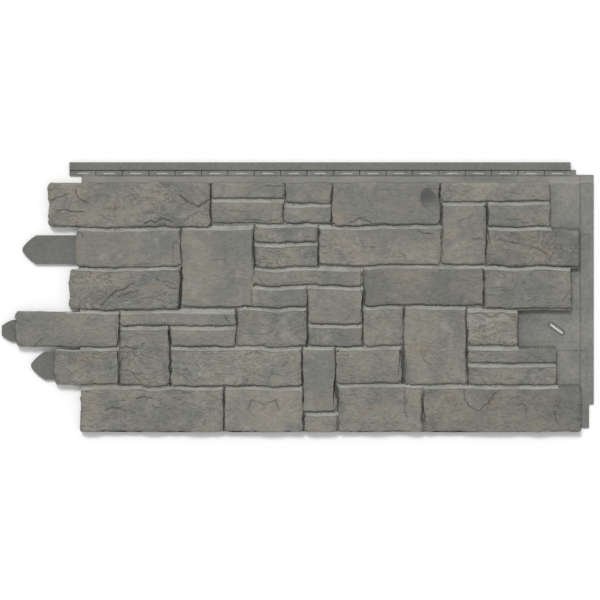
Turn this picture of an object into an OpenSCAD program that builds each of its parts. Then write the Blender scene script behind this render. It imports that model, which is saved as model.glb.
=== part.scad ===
// Faux stone wall panel: one hollow-backed moulded piece, lying on its back.
// +X runs along the panel, +Y towards the nailing hem, +Z out of the stone face.

/* [Panel] */
// length covered by one panel, from one end lap to the next
cover_l = 965.2; // [945.2:5:985.2]
// height of the stone field, which is also the height covered by one course of panels
field_h = 481; // [466:1:496]
// height of the highest stone face above the wall
stone_z = 21; // [20:0.5:24]
// height of the front of the joints above the wall
joint_z = 13; // [12:0.5:13.5]
// width of the bed joint between two courses
joint_w = 5; // [4:0.5:6]
// width of the upright joint between two stones
side_w = 3.8; // [3:0.2:5]
// thickness of the moulded walls
wall_t = 2.4; // [2:0.1:2.8]

/* [Hem] */
// thickness of the hem, the flange and the tongues
sheet_t = 2.4; // [2:0.1:2.8]
// width of the slot strip and the plain band, up to the lip
hem_h = 24; // [22:1:28]
// width of the raised lip at the top edge
lip_h = 14.5; // [12:0.5:17]
// height of the raised lip above the wall
lip_z = 6; // [5:0.5:6.5]
// distance from nail slot to nail slot
slot_pitch = 50.8; // [48:0.2:51.4]
// length of a nail slot, end to end
slot_l = 25.4; // [22:0.2:32]
// width of a nail slot
slot_w = 3.6; // [3.2:0.1:4.6]

/* [Ends] */
// width of the thin strip of the flange that goes behind the next panel
flange_w = 26; // [22:1:28]
// height of the underside of the tongues and the left lap above the wall
lap_z = 3.2; // [3:0.1:3.8]
// length of the drain slot in the flange, end to end
drain_l = 30; // [26:1:34]
// width of the drain slot in the flange
drain_w = 3.4; // [3:0.2:5]

/* [Hidden] */
$fn = 32;
eps = 0.01;
slots = 19;
// the stone pattern is drawn for panels that cover 965.2 by 481
kx = cover_l / 965.2;
ky = field_h / 481;
clear = 0.8;
// how far the field's walls and the sheet keep from each other's faces
weld = 0.3;
bevel = 4.5;
// how much lower than its face the edge of a stone is
bevel_z = 2.6;
foot_in = 1;
flare = 0.6;
jitter = 0.9;
rib_t = wall_t;

// joints between the stones of each course, from left to right
ja = [-480.5, -167.5, -25.5, 66, 274, 484.5] * kx;
jb = [-426, -224.5, -83.5, 39.5, 277, 362.5, 539.5] * kx;
jc = [-440, -226, -90.5, 18, 125.5, 358.5, 524.8] * kx;
jd = [-543, -343, -245.5, -118, 18.5, 125.5, 203, 325.5, 422.5] * kx;
je = [-469, -348, -240, 9, 73.5, 200, 326, 496.5] * kx;
jf = [-418, -141, 12.5, 77, 241.5, 544] * kx;

// heights of the bed joints, from the bottom edge up
h_bottom = rib_t / 2 + flare - 0.28;
h_f3 = 38 * ky;
h_ef = [87, 92, 89.5] * ky;
h_e1 = 89.4 * ky;
h_e6 = 163.2 * ky;
h_e67 = 131 * ky;
h_de = [162.6, 163, 164, 166] * ky;
h_d23 = 202.5 * ky;
h_c4 = 206.5 * ky;
h_cd = [234, 239, 241.5, 235.5] * ky;
h_c23 = 280.5 * ky;
h_bc = [316, 319.5, 317] * ky;
h_b34 = 363 * ky;
h_ab = [392.5, 399.5, 396] * ky;
h_a7 = 441.5 * ky;
h_a45 = 438 * ky;
h_a23 = 447 * ky;
h_top = 478.8 * ky;

// each stone: left, right, bottom and top joint
stones = [
    [ja[0], ja[1], h_ab[0], h_top],
    [ja[1], ja[2], h_a23, h_top],
    [ja[1], ja[2], h_ab[1], h_a23],
    [ja[2], ja[3], h_a45, h_top],
    [ja[2], ja[3], h_ab[1], h_a45],
    [ja[3], ja[4], h_ab[2], h_top],
    [ja[4], ja[5], h_a7, h_top],
    [jb[0], jb[1], h_bc[0], h_ab[0]],
    [jb[1], jb[2], h_cd[1], h_ab[0] + 2 * ky],
    [jb[2], jb[3], h_b34, h_ab[1]],
    [jb[2], jb[3], h_bc[0], h_b34],
    [jb[3], jb[4], h_bc[1], h_ab[2]],
    [jb[4], jb[5], h_bc[1], h_a7],
    [jb[5], ja[5], h_ab[0], h_a7],
    [jb[5], jb[6], h_bc[2], h_ab[0]],
    [jc[0], jc[1], h_cd[0], h_bc[0]],
    [jc[2], jc[4], h_c23, h_bc[0]],
    [jc[2], jc[3], h_cd[1], h_c23],
    [jc[3], jc[4], h_c4, h_c23],
    [jc[4], jc[5], h_cd[2], h_bc[1]],
    [jc[5], jc[6], h_cd[3], h_bc[2]],
    [jd[0], jd[1], h_de[0], h_cd[0]],
    [jd[1], jd[3], h_d23, h_cd[0]],
    [jd[1], jd[2], h_ef[0], h_d23],
    [jd[2], jd[3], h_de[1], h_d23],
    [jd[3], jd[4], h_de[1], h_cd[1]],
    [jd[4], jd[5], h_de[2], h_c4],
    [jd[5], jd[6], h_de[2], h_cd[2]],
    [jd[6], jd[7], h_ef[2], h_cd[2]],
    [jd[7], jd[8], h_de[3], h_cd[3]],
    [je[0], jd[1], h_e1, h_de[0]],
    [jd[2], je[3], h_ef[0], h_de[1]],
    [je[3], je[4], h_f3, h_de[2]],
    [je[4], je[5], h_ef[1], h_de[2]],
    [jd[7], je[7], h_e67, h_e6],
    [jd[7], je[7], h_ef[2], h_e67],
    [jf[0], jf[1], h_bottom, h_ef[0]],
    [jf[1], jf[2], h_bottom, h_ef[0]],
    [jf[2], jf[3], h_bottom, h_f3],
    [jf[3], jf[4], h_bottom, h_ef[1]],
    [jf[4], jf[5], h_bottom, h_ef[2]],
];

// joints at the ends of the courses, where a stone ends on the flange
ends = [ja[5], jb[6], jc[6], jd[8], je[7], jf[5]];

sheet_left = -416 * kx;
field_right = jf[5];
flange_x = 544 * kx + flange_w;
hem_y = field_h;
lip_y = field_h + hem_h;
top_y = lip_y + lip_h;
plain_h = 12.5;
strip_y = hem_y + plain_h;
slot_y = (strip_y + lip_y) / 2;
slot_x0 = 43.3 * kx - slot_pitch * (slots - 1) / 2;
hem_left = slot_x0 - slot_pitch / 2;
hem_right = hem_left + cover_l - 0.6;
hem_end = hem_right + 10.7;
fold_x = 544 * kx - 1;
groove_z = 0.8;
half_t = sheet_t / 2;
// shallow recesses of the flange: depth, room beside the tongue, right ends
seat_z = 0.6;
seat_room = 2;
seat_end = [fold_x + 18, fold_x + 4, fold_x + 14];
drain_x = 498.5 * kx;
drain_y = 199.5 * ky;
drain_turn = -36;
// shallow oval around the drain slot: margin on each side, depth
drain_rim = 4;
drain_rim_z = 0.8;
// well beyond both ends of the panel
far = 600 * kx;
lap_left = -388 * kx;
lap_bottom = hem_h + lip_h + 1.5;

// middle of the panel, which is the origin
mid_x = (flange_x - 569.5 * kx) / 2;
mid_y = top_y / 2;

// tongues: lower edge, upper edge, x of the shoulder, x of the tip, height of the flat nose, root
tongues = [
    [323.5 * ky, 379 * ky, -502.5 * kx, -529.5 * kx, 6, jb[0]],
    [174.5 * ky, 216 * ky, -541 * kx - 8, -569.5 * kx, 18, jd[0]],
    [101 * ky, 155.5 * ky, -485.5 * kx, -513 * kx, 6, je[0]],
];
// roundness of a tongue's nose, and the steps along it
nose_pow = 1.2;
nose_n = 8;
// right ends of the stones that the neighbour's tongues go behind
sockets = [jb[6], jd[8], je[7]];

function rnd(s, k) = let (v = sin(s * 127.1 + k * 311.7) * 4375.85) v - floor(v);
function swing(s, k) = 2 * rnd(s, k) - 1;

// sides of a stone that end the field: right, bottom, top
function is_end(c) = len([for (e = ends) if (abs(e - c[1]) < eps) e]) > 0;
function is_low(c) = abs(c[2] - h_bottom) < eps;
function is_high(c) = abs(c[3] - h_top) < eps;

// sides of the stone's skin: half a joint in from the joints, or out to the edge of the field
function skin(c) = [
    c[0] + side_w / 2,
    is_end(c) ? c[1] + rib_t / 2 : c[1] - side_w / 2,
    is_low(c) ? c[2] - rib_t / 2 : c[2] + joint_w / 2,
    is_high(c) ? c[3] + rib_t / 2 : c[3] - joint_w / 2,
];

// number of columns and rows of facets on a stone face
function cols(c) = max(1, round((c[1] - c[0] - side_w - 2 * bevel) / 42));
function rows(c) = max(1, round((c[3] - c[2] - joint_w - 2 * bevel) / 40));

// height of a stone's face before its facets lower it
function face_z(s) = stone_z - 1 - 1.8 * rnd(s, 900);

// share of the way along a side: edge, bevel, facets, bevel, edge
function share(i, n, len) = i == 0 ? 0 : i == n + 2 ? 1 : bevel / len + (1 - 2 * bevel / len) * (i - 1) / n;

// one corner of the grid of facets over a stone
function facet_at(c, s, i, j) = let (
    n = cols(c),
    m = rows(c),
    k = skin(c),
    len = k[1] - k[0],
    high = k[3] - k[2],
    edge_x = i == 0 || i == n + 2,
    edge_y = j == 0 || j == m + 2,
    key = i * 7 + j * 31,
    round_in = edge_x && edge_y ? 2.5 : 0,
    side_x = i == 0 ? 1 : i == n + 2 ? -1 : 0,
    side_y = j == 0 ? 1 : j == m + 2 ? -1 : 0,
    x = k[0] + share(i, n, len) * len + side_x * (jitter * rnd(s, key) + round_in)
        + (side_x == 0 ? 3 * swing(s, key + 3) : 0),
    y = k[2] + share(j, m, high) * high + side_y * (jitter * rnd(s, key + 1) + round_in)
        + (side_y == 0 ? 2 * swing(s, key + 5) : 0),
    tilt = 0.9 * swing(s, 901) * (i / (n + 2) - 0.5) + 0.9 * swing(s, 902) * (j / (m + 2) - 0.5),
    face = face_z(s) + tilt - 1.2 * rnd(s, key + 2),
    z = edge_x || edge_y ? face - bevel_z : face
) [x, y, z];

// faceted stone standing on the joints, its sides drafted
module stone(c, s) {
    n = cols(c) + 2;
    m = rows(c) + 2;
    ends_field = is_end(c) || is_low(c) || is_high(c);
    foot = c[0] < sheet_left - 1 ? lap_z : ends_field ? sheet_t / 2 : joint_z - foot_in;
    top = [for (j = [0:m]) for (i = [0:n]) facet_at(c, s, i, j)];
    loop = concat(
        [for (i = [0:n - 1]) i],
        [for (j = [0:m - 1]) n + j * (n + 1)],
        [for (i = [n:-1:1]) m * (n + 1) + i],
        [for (j = [m:-1:1]) j * (n + 1)]
    );
    low = [for (k = loop) let (
        p = top[k],
        dx = k % (n + 1) == 0 ? -flare : k % (n + 1) == n ? flare : 0,
        dy = k <= n ? -flare : k >= m * (n + 1) ? flare : 0
    ) [p[0] + dx, p[1] + dy, foot]];
    count = len(loop);
    base = len(top);
    polyhedron(
        points = concat(top, low),
        faces = concat(
            [for (j = [0:m - 1]) for (i = [0:n - 1]) let (a = j * (n + 1) + i)
                rnd(s, a + 77) < 0.5 ? [a, a + n + 1, a + n + 2] : [a, a + n + 1, a + 1]],
            [for (j = [0:m - 1]) for (i = [0:n - 1]) let (a = j * (n + 1) + i)
                rnd(s, a + 77) < 0.5 ? [a, a + n + 2, a + 1] : [a + 1, a + n + 1, a + n + 2]],
            [for (k = [0:count - 1]) [loop[k], loop[(k + 1) % count], base + (k + 1) % count]],
            [for (k = [0:count - 1]) [loop[k], base + (k + 1) % count, base + k]],
            [[for (k = [0:count - 1]) base + k]]
        ),
        convexity = 4
    );
}

// raised plate that carries one stone and its half of the joints
module plate(c) {
    left = max(c[0], sheet_left) - rib_t / 2;
    right = is_end(c) ? c[1] : c[1] + rib_t / 2;
    low = is_low(c) ? c[2] : c[2] - rib_t / 2;
    high = is_high(c) ? c[3] : c[3] + rib_t / 2;
    translate([left, low, 0])
        cube([right - left, high - low, joint_z]);
}

// floor of the joints where the courses don't quite meet
module joint_floor() {
    translate([sheet_left, h_bottom, joint_z - wall_t])
        cube([jd[8] - sheet_left, h_top - h_bottom, wall_t]);
}

// hollow behind one stone, open at the back, with drafted sides
module pocket(c, s) {
    k = skin(c);
    low_in = wall_t + 1.2;
    top_in = low_in + 1.6;
    top = face_z(s) - 2.1 - wall_t;
    left = max(c[0], sheet_left) + rib_t / 2;
    right = c[1] - rib_t / 2 - (is_end(c) ? flare : 0);
    low = c[2] + rib_t / 2 + (is_low(c) ? flare : 0);
    high = c[3] - rib_t / 2 - (is_high(c) ? flare : 0);
    polyhedron(
        points = [
            [k[0] + low_in, k[2] + low_in, -1],
            [k[1] - low_in, k[2] + low_in, -1],
            [k[1] - low_in, k[3] - low_in, -1],
            [k[0] + low_in, k[3] - low_in, -1],
            [k[0] + top_in, k[2] + top_in, top],
            [k[1] - top_in, k[2] + top_in, top],
            [k[1] - top_in, k[3] - top_in, top],
            [k[0] + top_in, k[3] - top_in, top],
        ],
        faces = [
            [0, 1, 2, 3],
            [4, 5, 1, 0],
            [5, 6, 2, 1],
            [6, 7, 3, 2],
            [7, 4, 0, 3],
            [7, 6, 5, 4],
        ]
    );
    translate([left, low, -1])
        cube([right - left, high - low, joint_z - wall_t + 1]);
}

// half height of a tongue at a share of the way from its shoulder to its tip
function taper(t, u) = t[4] / 2 + ((t[1] - t[0]) / 2 - t[4] / 2) * pow(1 - pow(u, nose_pow), 1 / nose_pow);

// flat tongue that goes behind the last stones of the neighbour, its nose rounded to a blunt point
module tongue(t) {
    mid = (t[0] + t[1]) / 2;
    root = t[5] + joint_w / 2 + wall_t + 3;
    translate([0, 0, lap_z])
        linear_extrude(height = sheet_t)
            polygon(concat(
                [[root, t[0]], [root, t[1]]],
                [for (i = [0:nose_n]) [t[2] - (t[2] - t[3]) * i / nose_n, mid + taper(t, i / nose_n)]],
                [for (i = [nose_n:-1:0]) [t[2] - (t[2] - t[3]) * i / nose_n, mid - taper(t, i / nose_n)]]
            ));
}

// opening through the end wall for the neighbour's tongue
module socket(t, right) {
    tip = t[3] + cover_l - 3;
    translate([tip, t[0] - clear, sheet_t / 2])
        cube([right + rib_t - tip, t[1] - t[0] + 2 * clear, lap_z + half_t + 2 * clear]);
}

module relief() {
    resize([0, 0, stone_z])
        difference() {
            union() {
                joint_floor();
                for (c = stones) plate(c);
                for (k = [0:len(stones) - 1]) stone(stones[k], k + 1);
                for (t = tongues) tongue(t);
            }
            for (k = [0:len(stones) - 1]) pocket(stones[k], k + 1);
            for (k = [0:2]) socket(tongues[k], sockets[k]);
            // room for the neighbour's flange behind the left end, and for the hem of the panel below
            translate([-far, -1, -1])
                cube([lap_left + far, field_h + 2, lap_z + 1]);
            translate([-far, -5, -1])
                cube([2 * far, lap_bottom + 5, lip_z + 2]);
        }
}

// hem and flange in outline
module sheet_outline() {
    difference() {
        polygon([
            [sheet_left, hem_y - 3],
            [sheet_left, strip_y],
            [hem_left, strip_y],
            [hem_left, lip_y + wall_t / 2],
            [hem_right, lip_y + wall_t / 2],
            [hem_right, lip_y],
            [hem_end, lip_y],
            [hem_end, strip_y + 2],
            [flange_x, strip_y + 2],
            [flange_x, 54 * ky],
            [flange_x - 9, 54 * ky],
            [flange_x - 9, 8.5 * ky],
            [field_right - 5, 8.5 * ky],
            [420 * kx, 90 * ky],
            [420 * kx, 236 * ky],
            [480 * kx, hem_y - 3],
        ]);
        for (c = stones)
            translate([c[0] - weld, c[2] - weld])
                square([c[1] - c[0] + 2 * weld, c[3] - c[2] + 2 * weld]);
    }
}

// raised lip along the top edge: a channel, open at the back
module lip() {
    difference() {
        translate([hem_left, lip_y, 0])
            cube([hem_right - hem_left, lip_h, lip_z]);
        translate([hem_left + wall_t, lip_y + wall_t, -1])
            cube([hem_right - hem_left - 2 * wall_t, lip_h - 2 * wall_t, lip_z - wall_t + 1]);
    }
}

// rounded slot in outline
module slot_outline(len, w) {
    translate([-(len - w) / 2, -w / 2]) square([len - w, w]);
    translate([-(len - w) / 2, 0]) circle(d = w);
    translate([(len - w) / 2, 0]) circle(d = w);
}

// rounded slot, cut through the sheet
module slot(x, y, len, w, turn) {
    translate([x, y, -1])
        rotate([0, 0, turn])
            linear_extrude(height = sheet_t + 2) slot_outline(len, w);
}

module sheet() {
    difference() {
        linear_extrude(height = sheet_t) sheet_outline();
        // fold line of the flange
        translate([fold_x, 0, sheet_t - groove_z])
            cube([2, strip_y - 2, sheet_t]);
        // half laps at the hem and at the foot of the flange, so that neighbours lie flush
        translate([hem_right + 0.2, strip_y - 1, half_t])
            cube([20, hem_h, sheet_t]);
        translate([fold_x, field_h - 2, half_t])
            cube([flange_w + 10, plain_h + 5, sheet_t]);
        translate([hem_left - 1, strip_y - 1, -1])
            cube([hem_end - hem_right + 14, hem_h, half_t + 1.1]);
        translate([sheet_left - 1, field_h - 4, -1])
            cube([lap_left - sheet_left + 1, plain_h + 7.5, half_t + 1.1]);
        translate([field_right, 0, -1])
            cube([flange_w + 10, lip_y - strip_y + 5, half_t + 1.1]);
        hem_grooves();
        tongue_seats();
        drain_seat();
    }
}

// grooves that part the slots from each other and from the plain band below them
module hem_grooves() {
    for (k = [1:slots - 1])
        translate([hem_left + k * slot_pitch - 1, strip_y + 0.4, sheet_t - groove_z])
            cube([2, lip_y - strip_y - 0.8, sheet_t]);
    translate([lap_left + 2, strip_y - 0.6, sheet_t - seat_z])
        cube([hem_right - lap_left - 2, 1.2, sheet_t]);
}

// shallow recesses of the flange in which the neighbour's tongues lie
module tongue_seats() {
    for (k = [0:2])
        translate([sockets[k], tongues[k][0] - seat_room, sheet_t - seat_z])
            cube([seat_end[k] - sockets[k], tongues[k][1] - tongues[k][0] + 2 * seat_room, sheet_t]);
}

// shallow oval recess around the drain slot
module drain_seat() {
    translate([drain_x, drain_y, sheet_t - seat_z - drain_rim_z])
        rotate([0, 0, drain_turn])
            linear_extrude(height = sheet_t) slot_outline(drain_l + 2 * drain_rim, drain_w + 2 * drain_rim);
}

module panel() {
    color([0.48, 0.47, 0.45])
        translate([-mid_x, -mid_y, 0])
        difference() {
            union() {
                relief();
                sheet();
                lip();
            }
            for (k = [0:slots - 1])
                slot(slot_x0 + k * slot_pitch, slot_y, slot_l, slot_w, 0);
            slot(slot_x0 + cover_l, slot_y, slot_l, slot_w, 0);
            slot(drain_x, drain_y, drain_l, drain_w, drain_turn);
        }
}

panel();
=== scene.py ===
# Looks of the moulded stone wall panel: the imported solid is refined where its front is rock,
# the rock relief is pressed into it, and one procedural material covers stone, joints and plain moulding.
import math

import bpy
import numpy as np
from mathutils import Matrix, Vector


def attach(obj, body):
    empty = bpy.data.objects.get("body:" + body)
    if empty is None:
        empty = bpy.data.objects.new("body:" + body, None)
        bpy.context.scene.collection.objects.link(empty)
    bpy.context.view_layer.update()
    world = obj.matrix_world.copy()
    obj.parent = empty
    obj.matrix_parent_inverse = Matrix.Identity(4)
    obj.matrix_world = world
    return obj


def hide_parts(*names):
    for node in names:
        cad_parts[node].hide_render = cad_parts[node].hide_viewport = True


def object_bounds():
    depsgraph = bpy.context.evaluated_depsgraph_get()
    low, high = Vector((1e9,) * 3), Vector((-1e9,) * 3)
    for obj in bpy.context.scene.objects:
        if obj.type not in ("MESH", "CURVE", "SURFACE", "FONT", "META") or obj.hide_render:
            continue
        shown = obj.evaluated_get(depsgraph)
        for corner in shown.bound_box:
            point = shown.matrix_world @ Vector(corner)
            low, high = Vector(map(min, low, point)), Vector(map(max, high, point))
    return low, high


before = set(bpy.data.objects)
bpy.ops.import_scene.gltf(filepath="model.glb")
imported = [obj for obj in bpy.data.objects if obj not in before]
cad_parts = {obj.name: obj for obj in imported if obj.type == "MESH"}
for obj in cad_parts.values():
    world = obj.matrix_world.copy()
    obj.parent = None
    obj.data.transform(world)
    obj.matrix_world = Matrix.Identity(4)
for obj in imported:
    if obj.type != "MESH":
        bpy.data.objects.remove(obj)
cad_low, cad_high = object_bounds()
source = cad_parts["panel"]

MM = 0.001
JOINT_Z = 13.0
JOINT_W = 5.0
SIDE_W = 3.8
SHEET_LEFT = -416.0
MID = (0.25, 259.75)

# Joints of each course and heights of the beds, in millimetres, as the solid has them
JA = [-480.5, -167.5, -25.5, 66, 274, 484.5]
JB = [-426, -224.5, -83.5, 39.5, 277, 362.5, 539.5]
JC = [-440, -226, -90.5, 18, 125.5, 358.5, 524.8]
JD = [-543, -343, -245.5, -118, 18.5, 125.5, 203, 325.5, 422.5]
JE = [-469, -348, -240, 9, 73.5, 200, 326, 496.5]
JF = [-418, -141, 12.5, 77, 241.5, 544]
BOTTOM, TOP = 1.52, 478.8
STONES = [
    (JA[0], JA[1], 392.5, TOP), (JA[1], JA[2], 447, TOP), (JA[1], JA[2], 399.5, 447),
    (JA[2], JA[3], 438, TOP), (JA[2], JA[3], 399.5, 438), (JA[3], JA[4], 396, TOP),
    (JA[4], JA[5], 441.5, TOP), (JB[0], JB[1], 316, 392.5), (JB[1], JB[2], 239, 394.5),
    (JB[2], JB[3], 363, 399.5), (JB[2], JB[3], 316, 363), (JB[3], JB[4], 319.5, 396),
    (JB[4], JB[5], 319.5, 441.5), (JB[5], JA[5], 392.5, 441.5), (JB[5], JB[6], 317, 392.5),
    (JC[0], JC[1], 234, 316), (JC[2], JC[4], 280.5, 316), (JC[2], JC[3], 239, 280.5),
    (JC[3], JC[4], 206.5, 280.5), (JC[4], JC[5], 241.5, 319.5), (JC[5], JC[6], 235.5, 317),
    (JD[0], JD[1], 162.6, 234), (JD[1], JD[3], 202.5, 234), (JD[1], JD[2], 87, 202.5),
    (JD[2], JD[3], 163, 202.5), (JD[3], JD[4], 163, 239), (JD[4], JD[5], 164, 206.5),
    (JD[5], JD[6], 164, 241.5), (JD[6], JD[7], 89.5, 241.5), (JD[7], JD[8], 166, 235.5),
    (JE[0], JD[1], 89.4, 162.6), (JD[2], JE[3], 87, 163), (JE[3], JE[4], 38, 164),
    (JE[4], JE[5], 92, 164), (JD[7], JE[7], 131, 163.2), (JD[7], JE[7], 89.5, 131),
    (JF[0], JF[1], BOTTOM, 87), (JF[1], JF[2], BOTTOM, 87), (JF[2], JF[3], BOTTOM, 38),
    (JF[3], JF[4], BOTTOM, 92), (JF[4], JF[5], BOTTOM, 89.5),
]
ENDS = (JA[5], JB[6], JC[6], JD[8], JE[7], JF[5])


def skin(c):
    """Sides of a stone: half a joint in, or out to the edge of the field."""
    return (
        c[0] + SIDE_W / 2,
        c[1] + 1.2 if c[1] in ENDS else c[1] - SIDE_W / 2,
        c[2] - 1.2 if c[2] == BOTTOM else c[2] + JOINT_W / 2,
        c[3] + 1.2 if c[3] == TOP else c[3] - JOINT_W / 2,
    )


CELLS = np.array(STONES, float)
SKINS = np.array([skin(c) for c in STONES], float)


# Noise, the same in every run

def lattice(ix, iy, seed):
    h = (ix.astype(np.int64) * 374761393 + iy.astype(np.int64) * 668265263 + seed * 974634777) & 0x7FFFFFFF
    h = ((h ^ (h >> 13)) * 1274126177) & 0x7FFFFFFF
    h = (h ^ (h >> 16)) & 0xFFFFFF
    return h / float(0xFFFFFF) * 2 - 1


def noise(x, y, seed):
    ix, iy = np.floor(x), np.floor(y)
    fx, fy = x - ix, y - iy
    fx = fx * fx * fx * (fx * (fx * 6 - 15) + 10)
    fy = fy * fy * fy * (fy * (fy * 6 - 15) + 10)
    a, b = lattice(ix, iy, seed), lattice(ix + 1, iy, seed)
    c, d = lattice(ix, iy + 1, seed), lattice(ix + 1, iy + 1, seed)
    return (a * (1 - fx) + b * fx) * (1 - fy) + (c * (1 - fx) + d * fx) * fy


def fractal(x, y, seed, octaves=4, rough=0.5):
    total, size, reach = 0, 1.0, 0
    for k in range(octaves):
        total = total + size * noise(x * 2**k, y * 2**k, seed + 17 * k)
        reach += size
        size *= rough
    return total / reach


def ramp(v, low, high):
    t = np.clip((v - low) / (high - low), 0, 1)
    return t * t * (3 - 2 * t)


# The solid's mesh, welded and refined

def read(obj):
    me = obj.data
    me.calc_loop_triangles()
    co = np.empty(len(me.vertices) * 3)
    me.vertices.foreach_get("co", co)
    co = co.reshape(-1, 3)
    tri = np.empty(len(me.loop_triangles) * 3, np.int32)
    me.loop_triangles.foreach_get("vertices", tri)
    tri = tri.reshape(-1, 3)
    key = np.round(co / 2e-6).astype(np.int64)
    _, first, inverse = np.unique(key, axis=0, return_index=True, return_inverse=True)
    tri = inverse.reshape(-1)[tri]
    keep = (tri[:, 0] != tri[:, 1]) & (tri[:, 1] != tri[:, 2]) & (tri[:, 0] != tri[:, 2])
    co = co[first] / MM
    co[:, 0] += MID[0]
    co[:, 1] += MID[1]
    return co, tri[keep].astype(np.int64)


def normals(co, tri):
    n = np.cross(co[tri[:, 1]] - co[tri[:, 0]], co[tri[:, 2]] - co[tri[:, 0]])
    return n / np.maximum(np.linalg.norm(n, axis=1, keepdims=True), 1e-12)


def cell_of(x, y):
    """Number of the stone whose cell holds the point, or of the nearest one, and how far it is."""
    best = np.full(len(x), 1e9)
    which = np.zeros(len(x), int)
    for k, (l, r, b, t) in enumerate(CELLS):
        away = np.maximum(np.maximum(l - x, x - r), np.maximum(b - y, y - t))
        nearer = away < best
        which[nearer] = k
        best[nearer] = away[nearer]
    return which, best


def rock_faces(co, tri):
    """Faces of the front that are stone or joint."""
    n = normals(co, tri)
    c = co[tri].mean(axis=1)
    which, away = cell_of(c[:, 0], c[:, 1])
    s = SKINS[which]
    to_x = np.abs(c[:, 0] - (s[:, 0] + s[:, 1]) / 2) - (s[:, 1] - s[:, 0]) / 2
    to_y = np.abs(c[:, 1] - (s[:, 2] + s[:, 3]) / 2) - (s[:, 3] - s[:, 2]) / 2
    rim = np.maximum(to_x, to_y)
    front = (n[:, 2] > 0.3) & (c[:, 2] > JOINT_Z - 0.6)
    wall = (np.abs(n[:, 2]) <= 0.3) & (rim > -2.4) & (c[:, 2] > 3.0)
    top = co[tri][:, :, 2].max(axis=1)
    wall &= top > JOINT_Z - 0.2
    return (front | wall) & (away < 4.0)


def refine(co, tri, kind, lengths):
    """Splits longest edges, neighbours together, until no edge of a face is over its kind's length."""
    for _ in range(400):
        n = len(co)
        ends = np.sort(np.stack([tri, np.roll(tri, -1, axis=1)], axis=2), axis=2)
        key = ends[..., 0] * n + ends[..., 1]
        edges, inv = np.unique(key.reshape(-1), return_inverse=True)
        inv = inv.reshape(-1, 3)
        a, b = edges // n, edges % n
        length = np.linalg.norm(co[a] - co[b], axis=1)
        limit = np.full(len(edges), 1e9)
        for k, most in enumerate(lengths):
            np.minimum.at(limit, inv[kind == k].reshape(-1), most)
        rank = np.empty(len(edges), np.int64)
        rank[np.lexsort((edges, np.round(length, 6)))] = np.arange(len(edges))
        side = rank[inv].argmax(axis=1)
        longest = inv[np.arange(len(tri)), side]
        want = length > limit
        while True:
            more = want.copy()
            more[longest[want[inv].any(axis=1)]] = True
            if (more == want).all():
                break
            want = more
        shared = np.bincount(inv.reshape(-1), minlength=len(edges))
        chosen = np.bincount(longest, minlength=len(edges))
        split = want & (shared == chosen)
        if not split.any():
            break
        number = np.full(len(edges), -1)
        number[split] = n + np.arange(split.sum())
        co = np.vstack([co, (co[a[split]] + co[b[split]]) / 2])
        cut = split[longest]
        t, s = tri[cut], side[cut]
        row = np.arange(len(t))
        p, q, r = t[row, s], t[row, (s + 1) % 3], t[row, (s + 2) % 3]
        m = number[longest[cut]]
        tri = np.vstack([tri[~cut], np.stack([p, m, r], 1), np.stack([m, q, r], 1)])
        kind = np.concatenate([kind[~cut], kind[cut], kind[cut]])
    return co, tri, kind


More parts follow.
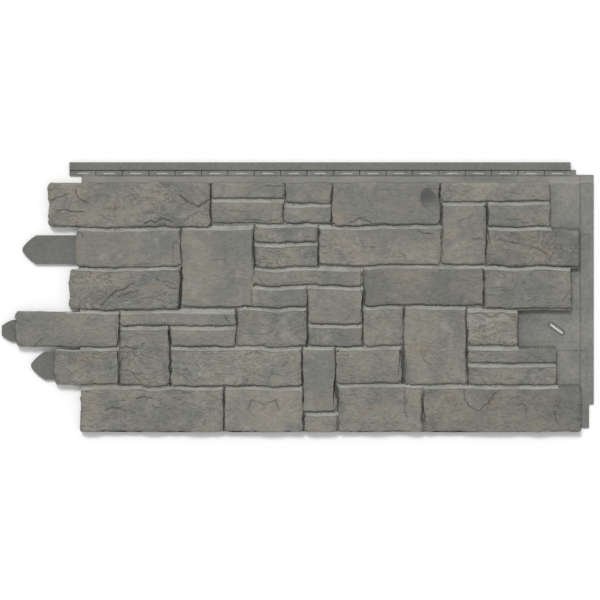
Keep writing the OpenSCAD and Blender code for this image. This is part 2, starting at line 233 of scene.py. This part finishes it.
# Clefts that run across the stones: depth and course, in millimetres
CRACKS = [
    (0.8, [(-473, 446), (-461, 452), (-449, 456), (-439, 459)]),
    (0.8, [(-428, 465), (-423, 454), (-414, 446), (-401, 440)]),
    (1, [(-461, 428), (-445, 429), (-432, 424), (-412, 422)]),
    (0.9, [(-226, 456), (-217, 448), (-204, 440), (-191, 434), (-180, 442), (-171, 446)]),
    (1, [(-292, 401), (-281, 406), (-272, 403), (-259, 410), (-252, 405), (-241, 406)]),
    (0.4, [(-351, 443), (-348, 429), (-351, 410), (-344, 401)]),
    (0.7, [(-61, 474), (-46, 473), (-29, 472)]),
    (0.5, [(-135, 427), (-116, 426), (-94, 423)]),
    (0.7, [(-98, 408), (-79, 408), (-61, 406), (-39, 409)]),
    (0.6, [(-232, 366), (-239, 359), (-236, 348), (-241, 337)]),
    (0.5, [(-324, 388), (-315, 379)]),
    (0.7, [(-421, 384), (-412, 384), (-411, 375)]),
    (0.6, [(-164, 329), (-153, 333), (-138, 331)]),
    (1, [(-377, 247), (-366, 260), (-351, 272), (-333, 278), (-315, 289)]),
    (0.8, [(-344, 263), (-322, 269), (-307, 272)]),
    (0.6, [(-278, 298), (-259, 289), (-241, 285)]),
    (0.7, [(-252, 280), (-234, 274)]),
    (0.6, [(-506, 166), (-493, 177), (-488, 181)]),
    (0.5, [(-539, 210), (-524, 207)]),
    (0.7, [(-144, 230), (-138, 215), (-131, 210)]),
    (0.8, [(-342, 160), (-329, 164), (-315, 159), (-302, 162), (-298, 171)]),
    (0.8, [(-337, 120), (-318, 114), (-309, 102), (-300, 96)]),
    (0.6, [(-315, 113), (-296, 111)]),
    (0.6, [(-98, 149), (-83, 155), (-68, 148)]),
    (0.6, [(-186, 109), (-201, 98)]),
    (0.5, [(-157, 114), (-131, 111)]),
    (0.8, [(-309, 63), (-294, 69), (-278, 67)]),
    (0.7, [(-366, 41), (-355, 46), (-337, 43)]),
    (0.5, [(-223, 74), (-204, 76)]),
    (0.6, [(-410, 78), (-401, 79), (-399, 85)]),
    (0.7, [(-94, 43), (-87, 61), (-65, 54), (-43, 63), (-35, 43)]),
    (0.9, [(101, 404), (122, 412), (133, 406), (151, 400)]),
    (0.7, [(272, 465), (258, 467), (243, 468)]),
    (0.3, [(239, 467), (229, 461), (234, 445), (247, 430), (261, 419), (270, 415)]),
    (0.7, [(232, 393), (241, 380), (261, 380)]),
    (0.7, [(195, 344), (206, 340), (208, 334)]),
    (0.4, [(45, 356), (63, 362), (78, 360)]),
    (0.5, [(131, 359), (148, 356)]),
    (0.6, [(309, 404), (328, 412), (335, 419)]),
    (0.6, [(335, 371), (353, 371)]),
    (0.6, [(401, 408), (416, 410), (441, 402)]),
    (0.6, [(386, 371), (412, 366), (438, 358), (460, 349), (478, 342)]),
    (0.5, [(394, 312), (399, 298)]),
    (0.5, [(508, 254), (526, 276)]),
    (0.4, [(89, 213), (104, 232), (122, 243)]),
    (0.4, [(239, 147), (247, 134), (258, 129)]),
    (0.4, [(287, 147), (284, 134), (272, 125)]),
    (0.8, [(337, 228), (353, 230), (372, 221), (394, 230), (419, 221)]),
    (0.6, [(350, 202), (372, 210), (394, 210)]),
    (0.7, [(205, 88), (206, 63), (205, 37), (210, 30)]),
    (0.8, [(317, 83), (322, 63), (331, 48), (348, 42), (364, 55), (379, 77), (390, 83)]),
    (0.6, [(250, 44), (241, 19)]),
    (0.7, [(493, 41), (500, 19)]),
    (0.5, [(419, 52), (430, 55), (441, 48), (440, 37)]),
    (0.5, [(504, 63), (497, 41)]),
]


def near_cracks(x, y):
    """Distance to the nearest cleft, its depth, and the side of it that the point is on."""
    best, depth, side = np.full(len(x), 99.0), np.zeros(len(x)), np.zeros(len(x))
    wx = x + 1.3 * noise(x / 9, y / 9, 61) + 0.6 * noise(x / 4, y / 4, 62)
    wy = y + 1.3 * noise(x / 9, y / 9, 63) + 0.6 * noise(x / 4, y / 4, 64)
    for strong, line in CRACKS:
        for (ax, ay), (bx, by) in zip(line, line[1:]):
            near = np.flatnonzero((wx > min(ax, bx) - 15) & (wx < max(ax, bx) + 15)
                                  & (wy > min(ay, by) - 15) & (wy < max(ay, by) + 15))
            if not len(near):
                continue
            ux, uy = bx - ax, by - ay
            px, py = wx[near] - ax, wy[near] - ay
            t = np.clip((px * ux + py * uy) / (ux * ux + uy * uy), 0, 1)
            d = np.hypot(px - t * ux, py - t * uy)
            closer = d < best[near]
            at = near[closer]
            best[at], depth[at] = d[closer], strong
            side[at] = np.sign((ux * py - uy * px)[closer])
    return best, depth, side


co, tri = read(source)
rock_face = rock_faces(co, tri)
co, tri, kind = refine(co, tri, rock_face.astype(int), (1e9, 8.2))
middle = co[tri].mean(axis=1)
number, _ = cell_of(middle[:, 0], middle[:, 1])
s = SKINS[number]
inner = np.minimum(np.minimum(middle[:, 0] - s[:, 0], s[:, 1] - middle[:, 0]),
                   np.minimum(middle[:, 1] - s[:, 2], s[:, 3] - middle[:, 1]))
kind[(kind == 1) & (inner < 6.0)] = 2
kind[(kind > 0) & (near_cracks(middle[:, 0], middle[:, 1])[0] < 3.2)] = 3
kind[(kind > 0) & (np.abs(middle[:, 0] - 254) < 20) & (np.abs(middle[:, 1] - 442) < 30)] = 3
co, tri, kind = refine(co, tri, kind, (1e9, 8.2, 4.4, 2.4))
fine = kind > 0
print("triangles", len(tri), "rock", int(fine.sum()), [int((kind == k).sum()) for k in range(4)])

# What each point is: first how broken the face of each stone is, in the order of STONES
RUGGED = np.array([
    0.80, 0.45, 0.50, 0.50, 0.45, 0.40, 0.60, 0.40, 0.30, 0.80, 0.90, 0.50, 0.45, 0.60,
    0.80, 1.00, 0.60, 0.45, 0.35, 0.50, 0.70, 0.50, 0.40, 1.00, 0.40, 0.70, 0.60, 0.60,
    0.50, 0.90, 0.80, 0.80, 0.40, 0.60, 0.80, 0.80, 0.80, 0.40, 0.60, 0.60, 0.70,
])
# stones whose paint is darker or lighter than the rest
DARKER, LIGHTER = (14, 19, 40), (6, 29, 31)
which, _ = cell_of(co[:, 0], co[:, 1])
own_skin = SKINS[which]
rugged = RUGGED[which]
x, y, z = co[:, 0].copy(), co[:, 1].copy(), co[:, 2].copy()
left, right = x - own_skin[:, 0], own_skin[:, 1] - x
low, high = y - own_skin[:, 2], own_skin[:, 3] - y
inside = np.minimum(np.minimum(left, right), np.minimum(low, high))
rock = np.zeros(len(co), bool)
rock[tri[fine].reshape(-1)] = True
only_rock = rock.copy()
only_rock[tri[~fine].reshape(-1)] = False
up = ramp(z, JOINT_Z + 0.3, JOINT_Z + 2.6) * only_rock
joint = only_rock & (np.abs(z - JOINT_Z) < 0.5) & (inside < 0.5)
ends_right = np.isin(CELLS[which][:, 1], ENDS)
ends_low = CELLS[which][:, 2] == BOTTOM
ends_left = CELLS[which][:, 0] < SHEET_LEFT + 12

# each stone has its own piece of every pattern
own_x = x + (which * 137.31) % 911
own_y = y + (which * 71.77) % 613
by_left, by_right = np.exp(-np.abs(left) / 4.0), np.exp(-np.abs(right) / 4.0)
by_low, by_high = np.exp(-np.abs(low) / 4.0), np.exp(-np.abs(high) / 4.0)

# wavy edges: the front drifts sideways as a whole, then each stone's rim is broken inwards or swells
drift_x = 2.5 * fractal(x / 34, y / 52, 11, 3)
drift_y = 3.2 * fractal(x / 46, y / 300, 12, 3)
edge_x = np.maximum(3.0 * fractal(own_y / 14, own_x / 60, 21, 3), -0.9)
edge_y = np.maximum(2.5 * fractal(own_x / 17, own_y / 60, 22, 4, 0.6), -0.9)
open_left, open_right = only_rock & ~ends_left & (z > JOINT_Z), only_rock & ~ends_right & (z > JOINT_Z)
dx = drift_x + by_left * (edge_x + 0.3) - by_right * (edge_x + 0.3)
dx -= 1.3 * by_left * open_left * ramp(z, JOINT_Z, JOINT_Z + 3)
dx += 1.3 * by_right * open_right * ramp(z, JOINT_Z, JOINT_Z + 3)
dy = drift_y + (by_low - by_high) * edge_y
outer_left = rock & ends_left & (left < 1.5)
outer_right = rock & ends_right & (right < 1.5)
outer_low = rock & ends_low & (low < 1.5)
ragged = np.clip(1.3 * dx + 1.6 * noise(y / 6.5, which + 0.5, 23) - 1.1, -3.2, 1.6)
dx[outer_left] = (ragged * ramp(np.minimum(low, high), 2.0, 9.0))[outer_left]
dx[outer_right] = np.clip(dx[outer_right] - 0.3, -1.6, 0.6)
notch = sum(np.exp(-(((x - at) / 3.0) ** 2)) for at in JF[1:-1])
dy[outer_low] = np.clip((0.7 * dy + 1.2 * noise(x / 8, y * 0 + 0.5, 24) + 0.7 + 2.0 * notch)[outer_low], 0.0, 2.2)
# joint and stone feet that stand on the sheet or the underside move only where nothing else does
still = rock & ~only_rock & ~(outer_left | outer_low)
dx[still | ~rock] = 0
dy[still | ~rock] = 0
x += dx
y += dy

# steeper sides than the solid's bevels, except along the top of each stone
near_top = np.exp(-np.clip(high - inside, 0, None) / 2.0)
slope = np.clip(1 - inside / 4.9, 0, 1)
fuller = 2.5 * (slope - slope**3.5) * (1 - 0.6 * near_top)

# cleft rock: long bedding planes broken into steps, with chips along the rim
bed = fractal(own_x / 70, own_y / 22, 31, 4, 0.55)
slant = fractal(own_x / 110, own_y / 80, 32, 2)
level = (bed * 1.2 + slant * 0.8) * 4.0
step = np.floor(level) + ramp(level - np.floor(level), 0.78, 1.0) - level * 0.55
grain = fractal(own_x / 15, own_y / 6, 33, 3)
swell = fractal(own_x / 36, own_y / 26, 34, 3)
relief = (0.55 * step + 0.5 * grain) * rugged + 0.75 * swell * (0.4 + rugged)
chip = ramp(fractal(own_x / 20, own_y / 16, 35, 3), 0.05, 0.42) * np.exp(-np.maximum(inside, 0) / 4.0) * (0.3 + rugged)
apart, strong, beside = near_cracks(co[:, 0], co[:, 1])
cleft = strong * np.exp(-(apart / 1.1) ** 2)
ledge = strong * np.exp(-apart / 6.0) * np.where(beside > 0, 0.35, -0.55)
# worn lens in the upper right corner of the large stone of the top course
lens_x, lens_y = co[:, 0] - 254, co[:, 1] - 442 + 0.35 * (co[:, 0] - 254)
lens = ramp(1 - np.hypot(lens_x / 19, lens_y / 27), 0.0, 0.3) * (which == 5)
scoop = lens * np.clip(0.55 + lens_y / 40 - lens_x / 60, 0, 1)
z = z + up * (np.clip(relief + fuller, -1.5, 3.2) + ledge - 1.0 * cleft - 1.3 * chip - 3.4 * scoop)

# mortar: crowned in the beds, sunk in the upright joints
gap_x, gap_y = -np.minimum(left, right), -np.minimum(low, high)
thin_joint = joint & np.isin(which, (34, 35)) & (np.abs(co[:, 1] - 131) < 3.2)
bed_joint = joint & (gap_y > -0.3) & ~thin_joint
upright = joint & (gap_x > -0.3) & ~bed_joint
z = z + bed_joint * (2.2 + 0.6 * fractal(x / 14, y / 8, 41, 3)) + upright * (0.3 * fractal(x / 6, y / 9, 42, 2) - 0.6)
z = np.minimum(z, cad_high[2] / MM)
x = np.clip(x, cad_low[0] / MM + MID[0], cad_high[0] / MM + MID[0])
y = np.clip(y, cad_low[1] / MM + MID[1], cad_high[1] / MM + MID[1])

# The visual piece

mesh = bpy.data.meshes.new("stone_panel")
rows = np.stack([x - MID[0], y - MID[1], z], axis=1) * MM
mesh.vertices.add(len(rows))
mesh.vertices.foreach_set("co", rows.astype(np.float32).reshape(-1))
mesh.loops.add(len(tri) * 3)
mesh.loops.foreach_set("vertex_index", tri.astype(np.int32).reshape(-1))
mesh.polygons.add(len(tri))
mesh.polygons.foreach_set("loop_start", np.arange(0, len(tri) * 3, 3, dtype=np.int32))
mesh.polygons.foreach_set("loop_total", np.full(len(tri), 3, np.int32))
mesh.update(calc_edges=True)
mesh.polygons.foreach_set("use_smooth", np.ones(len(mesh.polygons), bool))
mesh.set_sharp_from_angle(angle=math.radians(38))


def paint(name, values):
    """One value for each corner of the rock faces, and 0 on all the others."""
    corners = np.zeros((len(tri), 3), np.float32)
    corners[fine] = values[fine] if values.ndim == 2 else values[tri[fine]]
    mesh.attributes.new(name, "FLOAT", "CORNER").data.foreach_set("value", corners.reshape(-1))


def whole(mask):
    return np.repeat(np.asarray(mask, float)[:, None], 3, axis=1)


centre = co[tri].mean(axis=1)
face_cell, _ = cell_of(centre[:, 0], centre[:, 1])
edges = SKINS[face_cell]
corner_x, corner_y = co[tri][:, :, 0], co[tri][:, :, 1]
shut_left = 99.0 * (CELLS[face_cell][:, 0] < SHEET_LEFT + 12)[:, None]
shut_right = 99.0 * np.isin(CELLS[face_cell][:, 1], ENDS)[:, None]
from_side = np.minimum(corner_x - edges[:, 0, None] + shut_left, edges[:, 1, None] - corner_x + shut_right)
# sides of the stones with no other stone beyond them
open_high = cell_of(centre[:, 0], edges[:, 3] + 8.0)[1] > 3.0
open_low = cell_of(centre[:, 0], edges[:, 2] - 8.0)[1] > 3.0
shut_high = 99.0 * open_high[:, None]
from_low, from_high = corner_y - edges[:, 2, None], edges[:, 3, None] - corner_y + shut_high
joint_face = fine & (np.abs(co[tri][:, :, 2] - JOINT_Z).max(axis=1) < 0.4)
wall_face = fine & ~joint_face & (np.abs(normals(co, tri)[:, 2]) < 0.6)
over_side = np.minimum(centre[:, 0] - edges[:, 0], edges[:, 1] - centre[:, 0])
over_end = np.minimum(centre[:, 1] - edges[:, 2], edges[:, 3] - centre[:, 1])
upright_face = joint_face & (over_side < over_end) & (over_end > -0.2)
side_wall = wall_face & (over_side < over_end) & ~(np.isin(CELLS[face_cell][:, 1], ENDS) & (edges[:, 1] - centre[:, 0] < 4))
side_wall &= ~((CELLS[face_cell][:, 0] < SHEET_LEFT + 12) & (centre[:, 0] - edges[:, 0] < 4))
# the bed between the two thin stones at the right end is a dark cleft too, painted with shade like the upright joints
thin_bed = joint_face & np.isin(face_cell, (34, 35)) & (np.abs(centre[:, 1] - 131) < 3)
paint("stone", whole(~joint_face))
paint("mortar", whole(joint_face))
paint("upright", whole(upright_face | thin_bed))
paint("thin_bed", whole(thin_bed))
paint("side_wall", whole(side_wall))
# lower side walls of the stones, which the material paints with shade
paint("low_wall", whole(wall_face & (centre[:, 1] - edges[:, 2] < 2.0) & ~open_low))
paint("from_low", from_low)
paint("from_high", from_high)
paint("from_side", from_side)
paint("number", whole(np.zeros(len(tri))) + (face_cell / len(STONES))[:, None])
paint("rugged", rugged)
paint("darker", whole(np.isin(face_cell, DARKER)))
paint("lighter", whole(np.isin(face_cell, LIGHTER)))
paint("sunk", np.clip(0.5 - relief / 3.0 + 0.5 * chip, 0, 1))
paint("cleft", cleft)
paint("lens", lens)
# floors of the grooves in the hem and the flange, which the material paints with shade
low_z, groove_up = co[tri][:, :, 2].max(axis=1), normals(co, tri)[:, 2] > 0.7
groove = ~fine & groove_up & (np.abs(low_z - 1.6) < 0.1) & (centre[:, 1] < 506.5)
groove |= ~fine & groove_up & (np.abs(low_z - 1.8) < 0.1) & (np.abs(centre[:, 1] - 493.5) < 0.7)
mesh.attributes.new("groove", "FLOAT", "CORNER").data.foreach_set("value", whole(groove).astype(np.float32).reshape(-1))

panel = bpy.data.objects.new("stone_panel", mesh)
bpy.context.scene.collection.objects.link(panel)


# The material

def node_tools(mat):
    mat.use_nodes = True
    tree = mat.node_tree
    tree.nodes.clear()

    def add(kind, **values):
        node = tree.nodes.new(kind)
        for key, value in values.items():
            if key.startswith("in_"):
                node.inputs[key[3:].replace("_", " ")].default_value = value
            else:
                setattr(node, key, value)
        return node

    return tree, add, tree.links.new


def build_material():
    mat = bpy.data.materials.new("moulded_stone_polymer")
    tree, add, link = node_tools(mat)

    def attr(name):
        return add("ShaderNodeAttribute", attribute_name=name, attribute_type="GEOMETRY").outputs["Fac"]

    def calc(op, *values, clamp=False):
        node = add("ShaderNodeMath", operation=op, use_clamp=clamp)
        for i, v in enumerate(values):
            if isinstance(v, (int, float)):
                node.inputs[i].default_value = v
            else:
                link(v, node.inputs[i])
        return node.outputs[0]

    def times(*values):
        total = values[0]
        for v in values[1:]:
            total = calc("MULTIPLY", total, v)
        return total

    def mix(fac, a, b, blend="MIX"):
        node = add("ShaderNodeMix", data_type="RGBA", blend_type=blend, clamp_factor=True)
        for sock, v in ((node.inputs[0], fac), (node.inputs[6], a), (node.inputs[7], b)):
            if isinstance(v, (int, float)):
                sock.default_value = v
            elif isinstance(v, tuple):
                sock.default_value = (*v, 1.0)
            else:
                link(v, sock)
        return node.outputs[2]

    def mapped(scale, shift=None):
        node = add("ShaderNodeMapping")
        node.inputs["Scale"].default_value = scale
        link(coords, node.inputs["Vector"])
        if shift is not None:
            link(shift, node.inputs["Location"])
        return node.outputs[0]

    def cloud(vector, size, detail=4.0, rough=0.5, distort=0.0):
        node = add("ShaderNodeTexNoise", in_Scale=size, in_Detail=detail, in_Roughness=rough, in_Distortion=distort)
        link(vector, node.inputs["Vector"])
        return node.outputs["Fac"]

    def between(v, low, high, to_low=0.0, to_high=1.0):
        node = add("ShaderNodeMapRange", interpolation_type="SMOOTHSTEP", clamp=True)
        link(v, node.inputs[0])
        node.inputs[1].default_value, node.inputs[2].default_value = low, high
        node.inputs[3].default_value, node.inputs[4].default_value = to_low, to_high
        return node.outputs[0]

    def ledges(v, count):
        """Height of a stepped pattern, and a thin line where it steps."""
        level = calc("MULTIPLY", v, count)
        part = calc("FRACT", level)
        height = calc("ADD", calc("FLOOR", level), between(part, 0.82, 1.0))
        return calc("DIVIDE", height, count), calc("MULTIPLY", between(part, 0.74, 0.92), between(part, 0.93, 1.0, 1.0, 0.0))

    coords = add("ShaderNodeTexCoord").outputs["Object"]
    stone, mortar, number = attr("stone"), attr("mortar"), attr("number")
    rugged, sunk, cleft, lens = attr("rugged"), attr("sunk"), attr("cleft"), attr("lens")
    upright, side_wall, low_wall = attr("upright"), attr("side_wall"), attr("low_wall")
    darker, lighter = attr("darker"), attr("lighter")
    from_low, from_high, from_side = attr("from_low"), attr("from_high"), attr("from_side")
    groove = attr("groove")
    place = add("ShaderNodeSeparateXYZ")
    link(coords, place.inputs[0])
    shift = add("ShaderNodeCombineXYZ")
    for i, far in enumerate((53.0, 31.0, 7.0)):
        link(calc("MULTIPLY", number, far), shift.inputs[i])
    own = mapped((1.0, 1.0, 1.0), shift.outputs[0])
    bedded = mapped((1.0, 1.9, 1.0), shift.outputs[0])

    # patterns of the rock
    broad = cloud(own, 9.0, 4.0, 0.55, 0.6)
    wash = cloud(own, 17.0, 5.0, 0.6, 1.2)
    streak = cloud(bedded, 20.0, 6.0, 0.62, 0.9)
    fine_streak = cloud(bedded, 95.0, 6.0, 0.66, 0.5)
    speck = cloud(own, 520.0, 2.0, 0.6)
    wide_step, wide_line = ledges(cloud(bedded, 13.0, 5.0, 0.56, 0.9), 9.0)
    tight_step, tight_line = ledges(cloud(bedded, 34.0, 5.0, 0.6, 0.7), 7.0)
    here = between(cloud(own, 16.0, 3.0), 0.46, 0.58)
    lines = calc("MAXIMUM", times(wide_line, here), times(tight_line, between(cloud(own, 24.0, 2.0), 0.50, 0.60), 0.7))
    lines = times(lines, between(rugged, 0.25, 0.9, 0.25, 1.0))

    # colour of the rock: taupe and grey clouds, blue-grey wash, ochre streaks, painted shade in the clefts
    rock = mix(between(broad, 0.34, 0.66), (0.186, 0.185, 0.163), (0.262, 0.244, 0.203))
    rock = mix(times(between(wash, 0.49, 0.69), 0.7), rock, (0.152, 0.159, 0.159))
    rock = mix(times(between(streak, 0.58, 0.72), 0.5), rock, (0.300, 0.232, 0.158))
    rock = mix(times(between(cloud(own, 30.0, 4.0, 0.6), 0.55, 0.72), 0.55), rock, (0.300, 0.296, 0.265))
    # painted shade in the low parts of the relief and in the chips
    rock = mix(times(sunk, 0.40), rock, (0.130, 0.130, 0.122))
    rock = mix(1.0, rock, mix(between(fine_streak, 0.3, 0.7), (0.88, 0.88, 0.89), (1.11, 1.10, 1.08)), "MULTIPLY")
    rock = mix(1.0, rock, mix(between(speck, 0.3, 0.7), (0.93, 0.93, 0.93), (1.07, 1.07, 1.07)), "MULTIPLY")
    # scallop: tinted grey, with painted shade at its upper end and a painted highlight at its lower end
    rock = mix(times(lens, 0.40), rock, (0.150, 0.153, 0.152))
    lens_fall = calc("MULTIPLY_ADD", place.outputs[0], -0.35, place.outputs[1])
    rock = mix(times(lens, between(lens_fall, 0.076, 0.108), 0.85), rock, (0.072, 0.074, 0.076))
    rock = mix(times(lens, between(lens_fall, 0.058, 0.085, 1.0, 0.0), 0.55), rock, (0.285, 0.262, 0.222))
    rock = mix(times(lines, 0.34), rock, (0.080, 0.078, 0.070))
    # painted shade in the clefts
    rock = mix(times(cleft, 0.85), rock, (0.050, 0.049, 0.045))
    rock = mix(darker, rock, mix(1.0, rock, (0.88, 0.88, 0.89), "MULTIPLY"))
    rock = mix(lighter, rock, mix(1.0, rock, (1.07, 1.07, 1.07), "MULTIPLY"))
    # painted highlight in mortar colour along the top rim of each stone that has another stone above it
    wander = cloud(coords, 26.0, 3.0)
    top_rim_highlight = times(between(from_high, 1.6, 5.4, 1.0, 0.0), between(wander, 0.35, 0.62, 0.55, 1.0))
    rock = mix(top_rim_highlight, rock, (0.345, 0.354, 0.318))
    # painted shade on the lower side walls of the stones, where another stone lies below
    rock = mix(times(low_wall, 0.58), rock, (0.045, 0.045, 0.042))
    # painted shade in the upright crevices: the rock darkened in a ragged strip along the sides of each stone that meet
    # another stone
    gape = calc("MULTIPLY_ADD", cloud(coords, 17.0, 4.0, 0.6), -13.0, calc("ADD", from_side, 7.3))
    rock = mix(times(between(gape, -0.3, 0.5, 1.0, 0.0), between(from_side, 2.6, 3.4, 1.0, 0.0), 0.78), rock, (0.036, 0.036, 0.034))

    # joints and the plain moulding, which has less of the paint at its thin ends
    joint_colour = mix(between(cloud(coords, 60.0, 4.0), 0.35, 0.65), (0.350, 0.362, 0.322), (0.425, 0.432, 0.385))
    plain_cloud = cloud(coords, 11.0, 5.0, 0.6)
    plain = mix(between(plain_cloud, 0.35, 0.65), (0.160, 0.161, 0.153), (0.216, 0.212, 0.192))
    plain = mix(between(place.outputs[0], -0.40, -0.44, 0.0, 0.72), plain, (0.120, 0.121, 0.113))
    plain = mix(between(place.outputs[1], 0.243, 0.247, 0.0, 0.65), plain, (0.138, 0.138, 0.128))
    plain = mix(1.0, plain, mix(between(cloud(coords, 150.0, 4.0, 0.7), 0.3, 0.7), (0.87, 0.87, 0.87), (1.12, 1.12, 1.11)), "MULTIPLY")
    # painted highlight: a pale wavy line on the plain sheet along the top of the top course
    edge_line = calc("ADD", place.outputs[1], times(cloud(coords, 22.0, 3.0), 0.006))
    top_edge_highlight = times(between(edge_line, 0.2215, 0.2235), between(edge_line, 0.2245, 0.2285, 1.0, 0.0), 0.75)
    plain = mix(top_edge_highlight, plain, (0.275, 0.275, 0.245))
    band = times(between(place.outputs[1], 0.2205, 0.2235), between(place.outputs[1], 0.2305, 0.2345, 1.0, 0.0))
    plain = mix(times(band, between(cloud(coords, 4.2, 2.0), 0.44, 0.58, 0.15, 0.8)), plain, (0.272, 0.266, 0.232))
    # painted shade on the groove floors, and along the edge of the drain slot's oval seat
    lay = add("ShaderNodeMapping", vector_type="TEXTURE")
    lay.inputs["Location"].default_value = (0.49825, -0.06025, 0.0)
    lay.inputs["Rotation"].default_value = (0.0, 0.0, math.radians(-36))
    link(coords, lay.inputs["Vector"])
    oval = add("ShaderNodeSeparateXYZ")
    link(lay.outputs[0], oval.inputs[0])
    beyond = calc("MAXIMUM", calc("SUBTRACT", calc("ABSOLUTE", oval.outputs[0]), 0.0133), 0.0)
    off = calc("SQRT", calc("ADD", times(beyond, beyond), times(oval.outputs[1], oval.outputs[1])))
    rim = times(between(off, 0.0042, 0.0050), between(off, 0.0057, 0.0064, 1.0, 0.0))
    plain = mix(calc("MAXIMUM", times(groove, between(place.outputs[1], 0.224, 0.231, 0.30, 0.65)), times(rim, 0.75)), plain, (0.050, 0.050, 0.046))
    colour = mix(stone, mix(mortar, plain, joint_colour), rock)
    # painted shade: a thin painted shadow line on the mortar just under each stone, and painted shade in the upright
    # joints, the thin bed and on the stones' side walls
    shadow_line = calc("ADD", from_low, times(cloud(coords, 48.0, 3.0), 1.6))
    under = times(mortar, between(shadow_line, -1.2, -0.6), 0.5)
    deep = times(calc("MAXIMUM", upright, side_wall), between(cloud(coords, 15.0, 2.0), 0.42, 0.62, 0.22, 1.0))
    colour = mix(calc("MAXIMUM", under, deep), colour, mix(attr("thin_bed"), (0.018, 0.018, 0.017), (0.040, 0.052, 0.072)))
    # painted shade in the corners of the mouldings and joints, darker where ambient occlusion finds surfaces close by;
    # not on the stones
    corner = add("ShaderNodeAmbientOcclusion", samples=8, only_local=True, in_Distance=0.0025)
    painted_corner_shade = calc("MULTIPLY", calc("SUBTRACT", 1.0, corner.outputs["AO"]), 1.5, clamp=True)
    colour = mix(times(painted_corner_shade, calc("SUBTRACT", 1.0, stone), 0.55), colour, (0.030, 0.030, 0.028))

    # relief too fine for the mesh
    grain = cloud(bedded, 210.0, 8.0, 0.7)
    pits = cloud(own, 900.0, 3.0, 0.6)
    height = calc("MULTIPLY_ADD", wide_step, times(rugged, 9.0), times(tight_step, rugged, 4.2))
    height = calc("ADD", height, calc("MULTIPLY_ADD", fine_streak, 0.7, times(grain, 0.55)))
    height = calc("MULTIPLY_ADD", pits, 0.16, height)
    height = calc("MULTIPLY_ADD", lines, -0.55, height)
    worn = times(stone, between(from_high, 2.5, 6.0, 0.65, 0.0))
    soft = calc("MAXIMUM", calc("SUBTRACT", stone, worn), times(mortar, 0.3))
    height = calc("ADD", times(height, soft), times(cloud(coords, 1400.0, 2.0, 0.6), 0.10))
    bump = add("ShaderNodeBump", in_Strength=0.9, in_Distance=0.0011)
    link(height, bump.inputs["Height"])

    shader = add("ShaderNodeBsdfPrincipled")
    link(colour, shader.inputs["Base Color"])
    shader.inputs["Specular IOR Level"].default_value = 0.30
    link(between(cloud(own, 80.0, 4.0), 0.3, 0.7, 0.62, 0.84), shader.inputs["Roughness"])
    link(bump.outputs[0], shader.inputs["Normal"])
    out = add("ShaderNodeOutputMaterial")
    link(shader.outputs[0], out.inputs["Surface"])
    return mat


mesh.materials.append(build_material())
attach(panel, "root")
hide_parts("panel")

# The stage: floor, light and camera

floor_mesh = bpy.data.meshes.new("floor")
reach = 6.0
floor_mesh.from_pydata(
    [(-reach, -reach, -0.002), (reach, -reach, -0.002), (reach, reach, -0.002), (-reach, reach, -0.002)],
    [], [(0, 1, 2, 3)])
floor = bpy.data.objects.new("floor", floor_mesh)
bpy.context.scene.collection.objects.link(floor)
floor_mat = bpy.data.materials.new("floor_white")
tree, add, link = node_tools(floor_mat)
floor_shader = add("ShaderNodeBsdfDiffuse")
floor_shader.inputs["Color"].default_value = (0.93, 0.93, 0.93, 1)
floor_out = add("ShaderNodeOutputMaterial")
link(floor_shader.outputs[0], floor_out.inputs["Surface"])
floor_mesh.materials.append(floor_mat)

world = bpy.data.worlds.new("studio")
bpy.context.scene.world = world
tree, add, link = node_tools(world)
sky = add("ShaderNodeBackground", in_Strength=0.66)
sky.inputs["Color"].default_value = (1.0, 1.0, 1.0, 1)
world_out = add("ShaderNodeOutputWorld")
link(sky.outputs[0], world_out.inputs["Surface"])

sun_data = bpy.data.lights.new("key", "SUN")
sun_data.energy = 1.75
sun_data.angle = math.radians(16)
sun = bpy.data.objects.new("key", sun_data)
bpy.context.scene.collection.objects.link(sun)
sun.rotation_euler = (math.radians(-31), math.radians(-12), 0)

camera_data = bpy.data.cameras.new("camera")
camera_data.lens = 36.0 * 5.98 / 1.152
camera_data.sensor_width = 36.0
camera = bpy.data.objects.new("camera", camera_data)
camera.location = (0.0043, -0.0053, 6.0)
bpy.context.scene.collection.objects.link(camera)
bpy.context.scene.camera = camera
bpy.context.scene.view_settings.view_transform = "Standard"
